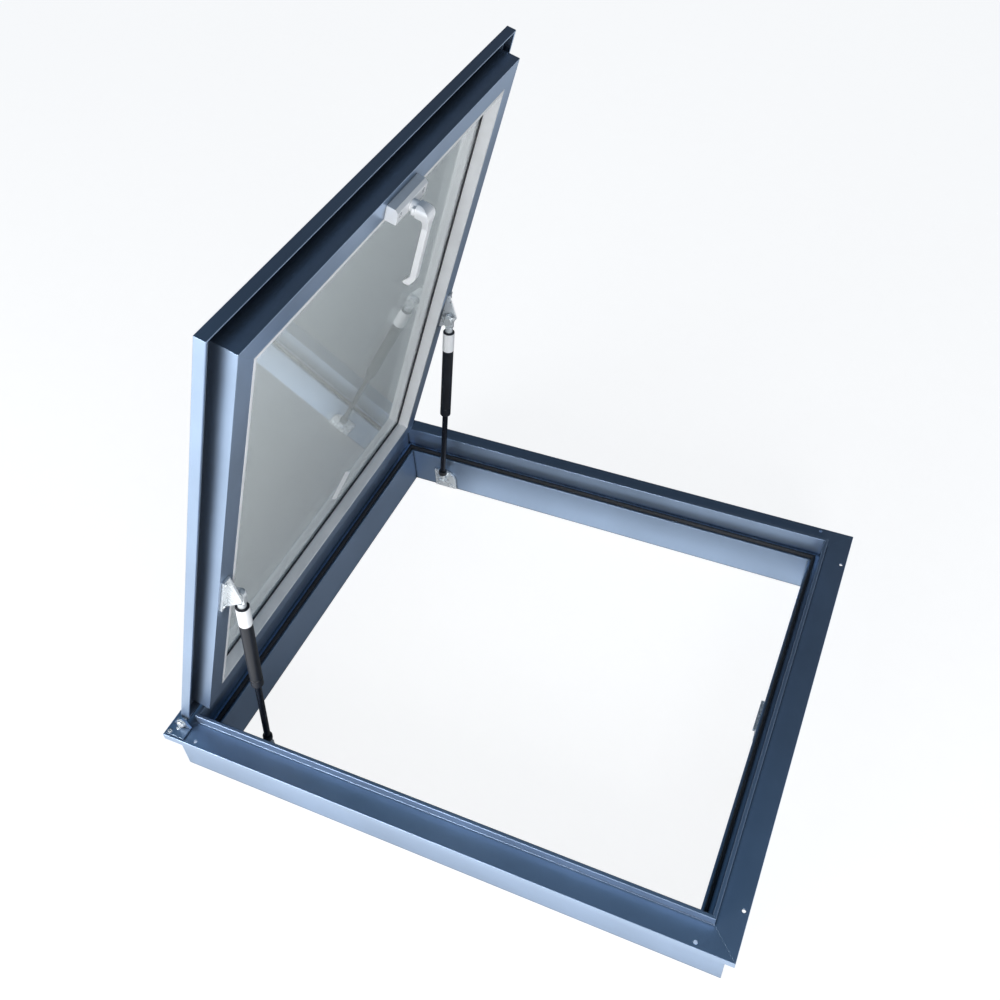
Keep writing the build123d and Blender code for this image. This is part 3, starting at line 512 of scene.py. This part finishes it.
def screw_shape(points):
    """The profile, place, head radius and recess depth of the screw that a CAD solid stands for."""
    centre, way = axis_of(points)
    along, across = radii(points, centre, way)
    if along[across > across.max() * 0.9].mean() < (along.min() + along.max()) / 2:
        way = -way
        along = -along
    head = across.max()
    shank = np.median(across[along < along.min() + (along.max() - along.min()) * 0.25])
    shank = max(shank, head * 0.4)
    top = along.max()
    seat = along[across > head * 0.98].min()
    length = top - along.min()
    rise = top - seat
    if rise > PROUD_HEAD:
        outline = [(shank, -rise)]
        outline += [(head * share, -rise * drop) for share, drop in PAN_OUTLINE]
    else:
        outline = [(shank, shank - head), (head * 0.97, -head * 0.06), (head * 0.94, 0),
                   (head * 0.5, 0)]
    profile = [(0, -length), (shank, -length), *outline, (0, 0)]
    return profile, lay(centre + way * top, way), head, max(rise * 0.75, head * 0.45)


def wrap(radius, start, end, gap, thickness, segments=56):
    """A label wrapped round a tube along Z, its ends a short gap apart."""
    mesh = bmesh.new()
    bare = gap / radius
    sections = []
    for k in range(segments + 1):
        turn = bare / 2 + (math.tau - bare) * k / segments
        way = Vector((math.cos(turn), math.sin(turn), 0))
        sections.append([mesh.verts.new(way * r + Vector((0, 0, z)))
                         for r, z in ((radius, start), (radius + thickness, start),
                                      (radius + thickness, end), (radius, end))])
    for first, second in zip(sections, sections[1:]):
        for k in range(4):
            mesh.faces.new((first[k], first[k - 1], second[k - 1], second[k]))
    mesh.faces.new(sections[0])
    mesh.faces.new(sections[-1])
    bmesh.ops.recalc_face_normals(mesh, faces=mesh.faces)
    return mesh


def rounded_plate(width, height, corner, thickness, steps=6):
    """A flat plate with rounded corners, its back on z 0."""
    mesh = bmesh.new()
    outline = []
    for quarter, (i, j) in enumerate(((1, 1), (-1, 1), (-1, -1), (1, -1))):
        for k in range(steps + 1):
            turn = math.pi / 2 * (quarter + k / steps)
            outline.append((i * (width / 2 - corner) + corner * math.cos(turn),
                            j * (height / 2 - corner) + corner * math.sin(turn)))
    low = [mesh.verts.new((x, y, 0)) for x, y in outline]
    high = [mesh.verts.new((x, y, thickness)) for x, y in outline]
    mesh.faces.new(low)
    mesh.faces.new(high)
    for k in range(len(low)):
        mesh.faces.new((low[k], low[k - 1], high[k - 1], high[k]))
    bmesh.ops.recalc_face_normals(mesh, faces=mesh.faces)
    return mesh


# Settings

class SkylightFinish(bpy.types.PropertyGroup):
    paint: bpy.props.FloatVectorProperty(
        name="Paint", description="Powder coat of the frame, the sash and the hinge plates",
        size=3, subtype="COLOR", min=0, max=1, default=(0.385, 0.50, 0.67))
    paint_metallic: bpy.props.FloatProperty(
        name="Paint metallic", description="How much of the paint is metal flake",
        default=0.87, min=0, max=1, subtype="FACTOR")
    paint_roughness: bpy.props.FloatProperty(
        name="Paint roughness", description="How soft the paint's reflections are",
        default=0.34, min=0, max=1, subtype="FACTOR")
    zinc: bpy.props.FloatVectorProperty(
        name="Zinc", description="Plating of the plates, brackets and pins",
        size=3, subtype="COLOR", min=0, max=1, default=(0.77, 0.805, 0.825))
    silver: bpy.props.FloatVectorProperty(
        name="Silver", description="Satin alloy of the handle and the glazing beads",
        size=3, subtype="COLOR", min=0, max=1, default=(0.93, 0.94, 0.95))
    black: bpy.props.FloatVectorProperty(
        name="Black", description="Paint of the strut tubes",
        size=3, subtype="COLOR", min=0, max=1, default=(0.012, 0.014, 0.020))
    plastic: bpy.props.FloatVectorProperty(
        name="Plastic", description="Black plastic and rubber",
        size=3, subtype="COLOR", min=0, max=1, default=(0.016, 0.017, 0.020))
    glass: bpy.props.FloatVectorProperty(
        name="Glass", description="Tint of the panes",
        size=3, subtype="COLOR", min=0, max=1, default=(0.92, 0.955, 0.957))
    label: bpy.props.FloatVectorProperty(
        name="Label", description="Plain film of the labels",
        size=3, subtype="COLOR", min=0, max=1, default=(0.90, 0.905, 0.91))


class SkylightLabels(bpy.types.PropertyGroup):
    from_top: bpy.props.FloatProperty(
        name="From the tube's top", description="Bare tube above the label",
        default=0.0016, unit="LENGTH")
    length: bpy.props.FloatProperty(
        name="Length", description="Length of the label along the tube",
        default=0.030, unit="LENGTH")
    thickness: bpy.props.FloatProperty(
        name="Thickness", description="Thickness of the film", default=0.00012, unit="LENGTH")
    gap: bpy.props.FloatProperty(
        name="Gap", description="Bare tube between the label's ends", default=0.006, unit="LENGTH")
    glass_length: bpy.props.FloatProperty(
        name="Glass label length", description="Length of the film on the inner pane",
        default=0.0415, unit="LENGTH")
    glass_height: bpy.props.FloatProperty(
        name="Glass label height", description="Height of the film on the inner pane",
        default=0.025, unit="LENGTH")
    glass_up: bpy.props.FloatProperty(
        name="Glass label up", description="From the pane's lower edge to the middle of the film",
        default=0.063, unit="LENGTH")
    glass_aside: bpy.props.FloatProperty(
        name="Glass label aside", description="From the sash's middle to the middle of the film",
        default=0.0553, unit="LENGTH")
    glass_turn: bpy.props.FloatProperty(
        name="Glass label turn", description="Turn of the film on the pane",
        default=math.radians(-47.5), subtype="ANGLE")


class SkylightStage(bpy.types.PropertyGroup):
    camera_place: bpy.props.FloatVectorProperty(
        name="Camera", description="Where the camera stands",
        size=3, subtype="TRANSLATION", default=(0.3369, -0.7464, 1.0896))
    camera_aim: bpy.props.FloatVectorProperty(
        name="Aim", description="A point in the middle of the view",
        size=3, subtype="TRANSLATION", default=(-0.1288, 0.1989, 0.0))
    camera_roll: bpy.props.FloatProperty(
        name="Roll", description="Turn of the camera about its view",
        default=math.radians(-3.615), subtype="ANGLE")
    lens: bpy.props.FloatProperty(
        name="Lens", description="Focal length on a 36 mm sensor",
        default=37.91, min=1, unit="CAMERA")
    front_watts: bpy.props.FloatProperty(
        name="Front light", description="Power of the large soft light in front",
        default=58.0, unit="POWER")
    side_watts: bpy.props.FloatProperty(
        name="Side light", description="Power of the soft light beside the camera",
        default=26.0, unit="POWER")
    sky: bpy.props.FloatVectorProperty(
        name="Sky", description="Light from above and the sides",
        size=3, subtype="COLOR", min=0, max=1, default=(0.065, 0.145, 0.235))
    back_sky: bpy.props.FloatVectorProperty(
        name="Back", description="Light from behind the object, level with it",
        size=3, subtype="COLOR", min=0, max=1, default=(0.05, 0.051, 0.056))
    front_sky: bpy.props.FloatVectorProperty(
        name="Front", description="Light from the front, level with the object",
        size=3, subtype="COLOR", min=0, max=1, default=(0.20, 0.23, 0.28))


PROPERTY_GROUPS = {
    "skylight_finish": SkylightFinish,
    "skylight_labels": SkylightLabels,
    "skylight_stage": SkylightStage,
}


# Operators

class SKYLIGHT_OT_extrusions(bpy.types.Operator):
    """Paint the frame and sash members with their hinge plates, and finish the hidden cleats"""
    bl_idname = "skylight.extrusions"
    bl_label = "Frame and Sash"
    bl_options = {"REGISTER", "UNDO"}

    def execute(self, context):
        finish = context.scene.skylight_finish
        # reach: how far, in metres, the painted shade in the paint's colour spreads from corners
        # and gaps
        for part, hinge, reach in (("frame", "hinge_bracket_", 0.004),
                                   ("sash", "sash_hinge_leaf_", 0.018)):
            paint = powder_coat(part + "_paint", finish.paint, finish.paint_metallic,
                                finish.paint_roughness, reach)
            for side in SIDES:
                cover(part + "_" + side, paint)
            for end in ENDS:
                cover(hinge + end, paint)
        mill = satin_alloy("mill_alloy", finish.zinc, 0.38, (1.0, 1.0, 8.0))
        cover("frame_corner_cleats", mill)
        cover("sash_corner_cleats", mill)
        return {"FINISHED"}


class SKYLIGHT_OT_glazing(bpy.types.Operator):
    """Finish the glass unit, its beads and its sealant, and lay the plain film on the pane"""
    bl_idname = "skylight.glazing"
    bl_label = "Glazing"
    bl_options = {"REGISTER", "UNDO"}

    def execute(self, context):
        finish = context.scene.skylight_finish
        clear = glass(finish.glass)
        cover("outer_pane", clear)
        cover("inner_pane", clear)
        bead = satin_alloy("silver_bead", finish.silver, 0.30, (1.0, 12.0, 1.0))
        for side in SIDES:
            cover("glazing_bead_" + side, bead)
        cover("spacer_bar", spacer(finish.silver))
        black = sealant(finish.plastic)
        cover("glass_edge_sealant", black)
        cover("perimeter_sealant", black)
        cover("glazing_tape", moulded("glazing_tape", finish.plastic, 0.7))
        cover("setting_blocks", moulded("setting_blocks", tone(finish.plastic, 1.4), 0.5))
        self.film(context.scene.skylight_labels, finish.label)
        return {"FINISHED"}

    def film(self, sizes, colour):
        """The plain film on the room face of the inner pane."""
        edge, up, inward = room_face("inner_pane")
        place = edge + up * sizes.glass_up + Vector((0, sizes.glass_aside, 0)) + inward * PANE_AIR
        turned = Matrix.Rotation(sizes.glass_turn, 3, inward) @ up
        plate = rounded_plate(sizes.glass_length, sizes.glass_height, 0.001, sizes.thickness)
        label = piece("glass_label", plate, vinyl("glass_film", colour), "sash",
                      lay(place, inward, turned))


class SKYLIGHT_OT_seal(bpy.types.Operator):
    """Finish the rubber seal on the frame's ledge"""
    bl_idname = "skylight.seal"
    bl_label = "Seal"
    bl_options = {"REGISTER", "UNDO"}

    def execute(self, context):
        plastic = context.scene.skylight_finish.plastic
        cover("frame_seal", moulded("seal_rubber", plastic, 0.62, grain=400.0))
        return {"FINISHED"}


class SKYLIGHT_OT_fittings(bpy.types.Operator):
    """Plate the strut plates and brackets, the pins, the studs and the keep"""
    bl_idname = "skylight.fittings"
    bl_label = "Fittings"
    bl_options = {"REGISTER", "UNDO"}

    def execute(self, context):
        finish = context.scene.skylight_finish
        sheet = plated("zinc_sheet", finish.zinc, 0.27)
        turned = plated("zinc_turned", finish.zinc, 0.20, spangle=900.0)
        for end in ENDS:
            for part in ("strut_plate_", "strut_bracket_"):
                cover(part + end, sheet)
            for part in ("strut_frame_stud_", "strut_tube_eye_", "strut_rod_eye_"):
                cover(part + end, turned)
        cover("handle_keep", sheet)
        for node in ("hinge_pins", "strut_sash_studs"):
            cover(node, turned)
        return {"FINISHED"}


class SKYLIGHT_OT_screws(bpy.types.Operator):
    """Put screws with a cross recess in the places of the plain ones"""
    bl_idname = "skylight.screws"
    bl_label = "Screws"
    bl_options = {"REGISTER", "UNDO"}

    def execute(self, context):
        steel = plated("screw_steel", context.scene.skylight_finish.zinc, 0.18, spangle=1400.0)
        for node, body in SCREWS.items():
            made = bmesh.new()
            for points in solids(node):
                profile, place, head, depth = screw_shape(points)
                shaped = screw_mesh(profile, head, depth)
                shaped.transform(place)
                made.from_mesh(shaped)
                bpy.data.meshes.remove(shaped)
            screws = piece(node + "_recessed", made, steel, body, smooth=32.0)
            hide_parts(node)
        return {"FINISHED"}


class SKYLIGHT_OT_struts(bpy.types.Operator):
    """Finish both gas struts and wrap a plain label round each tube"""
    bl_idname = "skylight.struts"
    bl_label = "Gas Struts"
    bl_options = {"REGISTER", "UNDO"}

    def execute(self, context):
        finish = context.scene.skylight_finish
        sizes = context.scene.skylight_labels
        tube = black_paint("strut_paint", finish.black, 0.34)
        rod = black_rod(tone(finish.black, 1.6))
        plastic = moulded("strut_plastic", finish.plastic, 0.42)
        film = vinyl("label_film", finish.label)
        for end in ENDS:
            cover("strut_tube_" + end, tube)
            cover("strut_rod_" + end, rod)
            for part in ("strut_guide_", "strut_piston_", "strut_rod_end_"):
                cover(part + end, plastic)
            points = corners("strut_tube_" + end)
            centre, way = axis_of(points)
            if way.z > 0:
                way = -way
            along, across = radii(points, centre, way)
            start = along.min() + sizes.from_top
            wrapped = wrap(across.max() + TUBE_AIR, start, start + sizes.length, sizes.gap,
                           sizes.thickness)
            label = piece("strut_label_" + end, wrapped, film, "tube_" + end,
                          lay(centre, way, LABEL_ENDS))
        return {"FINISHED"}


class SKYLIGHT_OT_handle(bpy.types.Operator):
    """Finish the handle, its base, its spindle and its tongue"""
    bl_idname = "skylight.handle"
    bl_label = "Handle"
    bl_options = {"REGISTER", "UNDO"}

    def execute(self, context):
        finish = context.scene.skylight_finish
        cast = satin_alloy("handle_silver", finish.silver, 0.26)
        for node in ("handle_base", "handle_lever", "handle_tongue"):
            cover(node, cast)
        cover("handle_spindle", plated("spindle_zinc", finish.zinc, 0.24))
        return {"FINISHED"}


class SKYLIGHT_OT_stage(bpy.types.Operator):
    """Set the floor, the soft studio light and the camera"""
    bl_idname = "skylight.stage"
    bl_label = "Studio"
    bl_options = {"REGISTER", "UNDO"}

    def execute(self, context):
        scene = context.scene
        stage = scene.skylight_stage
        self.floor(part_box("frame_near")[0][2])
        self.world(scene, stage)
        self.light("front_light", place=(-1.2, -2.3, 0.42), aim=(-0.1, 0, 0.1),
                   width=1.9, height=0.7, watts=stage.front_watts)
        self.light("side_light", place=(1.2, -1.8, 0.6), aim=(-0.2, 0, 0.2),
                   width=1.0, height=0.8, watts=stage.side_watts)
        self.camera(scene, stage)
        return {"FINISHED"}

    def floor(self, height):
        mesh = bmesh.new()
        bmesh.ops.create_grid(mesh, x_segments=1, y_segments=1, size=FLOOR_HALF)
        floor = as_object("floor", mesh)
        floor.location.z = height
        floor.data.materials.append(self.floor_white())

    def floor_white(self):
        """White to the camera and through glass, with its shadow, and with painted reflections:
        fields that glow only for reflected rays, so that the paint shows them.
        """
        s = Surface("floor_white", Roughness=0.9)
        grain = s.noise(30.0, 3.0)
        s.join(s.ramp(grain, (0.3, (0.30, 0.30, 0.30)), (0.7, (0.33, 0.33, 0.33))), "Base Color")
        path = s.add("ShaderNodeLightPath").outputs
        white = s.maths("MULTIPLY", s.seen(path), FLOOR_WHITE)
        reflected = s.maths("SUBTRACT", path["Is Glossy Ray"], path["Is Transmission Ray"])
        reflected = s.maths("MAXIMUM", reflected, 0.0)
        # Painted reflections: a glow that only reflected rays see, in the fields given below.
        painted_reflection_glow = s.maths("MULTIPLY", reflected, self.painted_reflections(s, path))
        bounced = s.maths("MULTIPLY", path["Is Diffuse Ray"], FLOOR_BOUNCE)
        shown = s.maths("MAXIMUM", white, s.maths("MAXIMUM", painted_reflection_glow, bounced))
        glow = s.add("ShaderNodeEmission", {"Color": (1, 1, 1, 1), "Strength": shown})
        both = s.add("ShaderNodeAddShader", {0: s.shader.outputs[0], 1: glow.outputs[0]})
        s.tree.links.new(both.outputs[0], s.tree.nodes["Material Output"].inputs["Surface"])
        return s.material

    def painted_reflections(self, s, path):
        """How brightly each place of the floor glows in a reflection: painted reflections, which
        the camera never sees straight on.
        """
        place = s.add("ShaderNodeSeparateXYZ", {0: s.place}).outputs
        front = s.spread(place["Y"], FRONT_SHINE, PLAIN_SHINE, FRONT_FULL, FRONT_FADED)
        aside = s.spread(place["X"], 0.0, ASIDE_SHINE, ASIDE_FADED, ASIDE_FULL)
        aside = s.maths("MULTIPLY", aside, s.maths("GREATER_THAN", path["Ray Length"], SHORT_WAY))
        back = s.maths("MULTIPLY", s.spread(place["Y"], 0.0, BACK_SHINE, BACK_FADED, BACK_FULL),
                       s.spread(place["X"], 0.0, 1.0, LEFT_FADED, LEFT_FULL))
        back = s.maths("MULTIPLY", back, s.maths("LESS_THAN", path["Ray Length"], SHORT_WAY))
        return s.maths("MAXIMUM", front, s.maths("MAXIMUM", aside, back))

    def world(self, scene, stage):
        """A pale front, a darker top and back, and white behind the object for the camera."""
        scene.world = bpy.data.worlds.new("studio")
        scene.world.use_nodes = True
        sky = Nodes(scene.world.node_tree)
        way = sky.add("ShaderNodeTexCoord").outputs["Generated"]
        depth = sky.add("ShaderNodeSeparateXYZ", {0: way}).outputs["Y"]
        back_to_front = sky.spread(depth, 0.0, 1.0, 1.0, -1.0)
        light = sky.ramp(back_to_front, (0.20, stage.back_sky), (0.36, stage.sky),
                         (0.58, stage.sky), (0.85, stage.front_sky))
        path = sky.add("ShaderNodeLightPath").outputs
        shown = sky.mix(sky.seen(path), light, (1, 1, 1))
        sky.tree.links.new(shown, sky.tree.nodes["Background"].inputs["Color"])

    def light(self, name, place, aim, width, height, watts):
        data = bpy.data.lights.new(name, "AREA")
        data.shape = "RECTANGLE"
        data.size = width
        data.size_y = height
        data.energy = watts
        light = bpy.data.objects.new(name, data)
        light.location = place
        light.rotation_euler = (Vector(aim) - Vector(place)).to_track_quat("-Z", "Y").to_euler()
        bpy.context.scene.collection.objects.link(light)

    def camera(self, scene, stage):
        data = bpy.data.cameras.new("camera")
        data.sensor_width = 36.0
        data.lens = stage.lens
        data.clip_end = 50.0
        camera = bpy.data.objects.new("camera", data)
        place = Vector(stage.camera_place)
        turn = (Vector(stage.camera_aim) - place).to_track_quat("-Z", "Y").to_matrix().to_4x4()
        roll = Matrix.Rotation(stage.camera_roll, 4, "Z")
        camera.matrix_world = Matrix.Translation(place) @ turn @ roll
        bpy.context.scene.collection.objects.link(camera)
        scene.camera = camera
        scene.view_settings.view_transform = "Standard"


OPERATORS = (
    SKYLIGHT_OT_extrusions,
    SKYLIGHT_OT_glazing,
    SKYLIGHT_OT_seal,
    SKYLIGHT_OT_fittings,
    SKYLIGHT_OT_screws,
    SKYLIGHT_OT_struts,
    SKYLIGHT_OT_handle,
    SKYLIGHT_OT_stage,
)


class SKYLIGHT_PT_panel(bpy.types.Panel):
    """Steps of the dressing, in order"""
    bl_idname = "SKYLIGHT_PT_panel"
    bl_label = "Roof Skylight"
    bl_space_type = "VIEW_3D"
    bl_region_type = "UI"
    bl_category = "Skylight"

    def draw(self, context):
        for operator in OPERATORS:
            self.layout.operator(operator.bl_idname)


CLASSES = (*PROPERTY_GROUPS.values(), *OPERATORS, SKYLIGHT_PT_panel)


def register():
    for kind in CLASSES:
        bpy.utils.register_class(kind)
    for name, group in PROPERTY_GROUPS.items():
        setattr(bpy.types.Scene, name, bpy.props.PointerProperty(type=group))


def unregister():
    for name in PROPERTY_GROUPS:
        delattr(bpy.types.Scene, name)
    for kind in reversed(CLASSES):
        bpy.utils.unregister_class(kind)


def main():
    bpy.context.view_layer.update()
    register()
    bpy.ops.skylight.extrusions()
    bpy.ops.skylight.glazing()
    bpy.ops.skylight.seal()
    bpy.ops.skylight.fittings()
    bpy.ops.skylight.screws()
    bpy.ops.skylight.struts()
    bpy.ops.skylight.handle()
    bpy.ops.skylight.stage()


if __name__ == "__main__":
    main()
